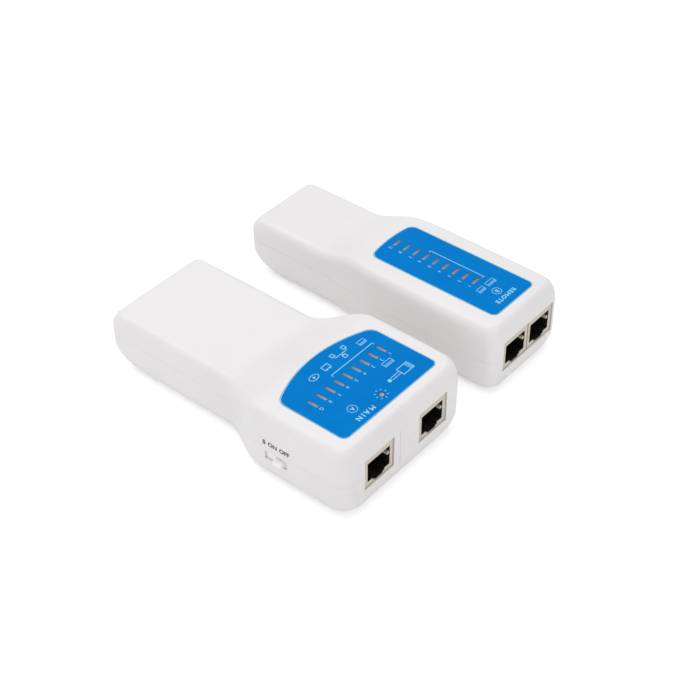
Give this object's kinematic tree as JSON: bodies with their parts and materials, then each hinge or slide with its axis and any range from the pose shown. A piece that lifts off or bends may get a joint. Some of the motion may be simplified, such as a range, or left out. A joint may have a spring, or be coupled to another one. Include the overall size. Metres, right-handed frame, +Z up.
{
  "type": "network cable tester",
  "caption": "Two-part network cable tester: a wide-headed main unit with power switch and battery, and a slim remote unit, each with modular sockets and a row of indicator lights.",
  "frame": {"origin": "centre of the main unit's underside, on the table", "axes": "+Z up; the sockets face -Y and the handles point to +Y; the power switch is on the -X side and the remote unit lies on the +X side"},
  "size_m": [0.1258, 0.1206, 0.0309],
  "materials": {
    "white_plastic": "satin moulded ABS, slightly warm white",
    "blue_panel": "printed polyester film, semi-gloss",
    "ivory_plastic": "moulded ivory plastic",
    "gold_contacts": "gold plated sprung wire in its carrier",
    "circuit_board": "solder mask on glass laminate",
    "black_plastic": "moulded black plastic",
    "light_plastic": "diffused translucent epoxy, unlit",
    "screw_steel": "zinc plated steel",
    "battery_can": "printed metal jacket",
    "capacitor_sleeve": "shrink sleeve",
    "red_wire": "PVC insulation"
  },
  "bodies": {
    "main_unit": {"battery": "battery_can", "battery_lead_black": "black_plastic", "battery_lead_red": "red_wire", "battery_snap": "black_plastic", "counter_chip": "black_plastic", "main_bottom_cover": "white_plastic", "main_circuit_board": "circuit_board", "main_jack_left": "ivory_plastic", "main_jack_left_contacts": "gold_contacts", "main_jack_right": "ivory_plastic", "main_jack_right_contacts": "gold_contacts", "main_label": "blue_panel", "main_led_1": "light_plastic", "main_led_2": "light_plastic", "main_led_3": "light_plastic", "main_led_4": "light_plastic", "main_led_5": "light_plastic", "main_led_6": "light_plastic", "main_led_7": "light_plastic", "main_led_8": "light_plastic", "main_led_g": "light_plastic", "main_screw_1": "screw_steel", "main_screw_2": "screw_steel", "main_screw_3": "screw_steel", "main_screw_4": "screw_steel", "main_top_cover": "white_plastic", "power_led": "light_plastic", "power_switch_body": "screw_steel", "timer_chip": "black_plastic", "timing_capacitor": "capacitor_sleeve"},
    "power_switch": {"power_switch_slider": "white_plastic"},
    "battery_door": {"battery_door": "white_plastic"},
    "remote_unit": {"remote_bottom_cover": "white_plastic", "remote_circuit_board": "circuit_board", "remote_jack_left": "ivory_plastic", "remote_jack_left_contacts": "gold_contacts", "remote_jack_right": "ivory_plastic", "remote_jack_right_contacts": "gold_contacts", "remote_label": "blue_panel", "remote_led_1": "light_plastic", "remote_led_2": "light_plastic", "remote_led_3": "light_plastic", "remote_led_4": "light_plastic", "remote_led_5": "light_plastic", "remote_led_6": "light_plastic", "remote_led_7": "light_plastic", "remote_led_8": "light_plastic", "remote_led_g": "light_plastic", "remote_screw_1": "screw_steel", "remote_screw_2": "screw_steel", "remote_screw_3": "screw_steel", "remote_screw_4": "screw_steel", "remote_top_cover": "white_plastic"}
  },
  "joints": [
    {"name": "power_switch_slide", "type": "slide", "parent": "main_unit", "child": "power_switch", "axis": [0, 1, 0], "range_m": [0, 0.004]},
    {"name": "battery_door_slide", "type": "slide", "parent": "main_unit", "child": "battery_door", "axis": [0, 1, 0], "range_m": [0, 0.05]},
    {"name": "remote_placement", "type": "slide", "parent": "main_unit", "child": "remote_unit", "axis": [1, 0, 0], "range_m": [0, 0.08]}
  ]
}
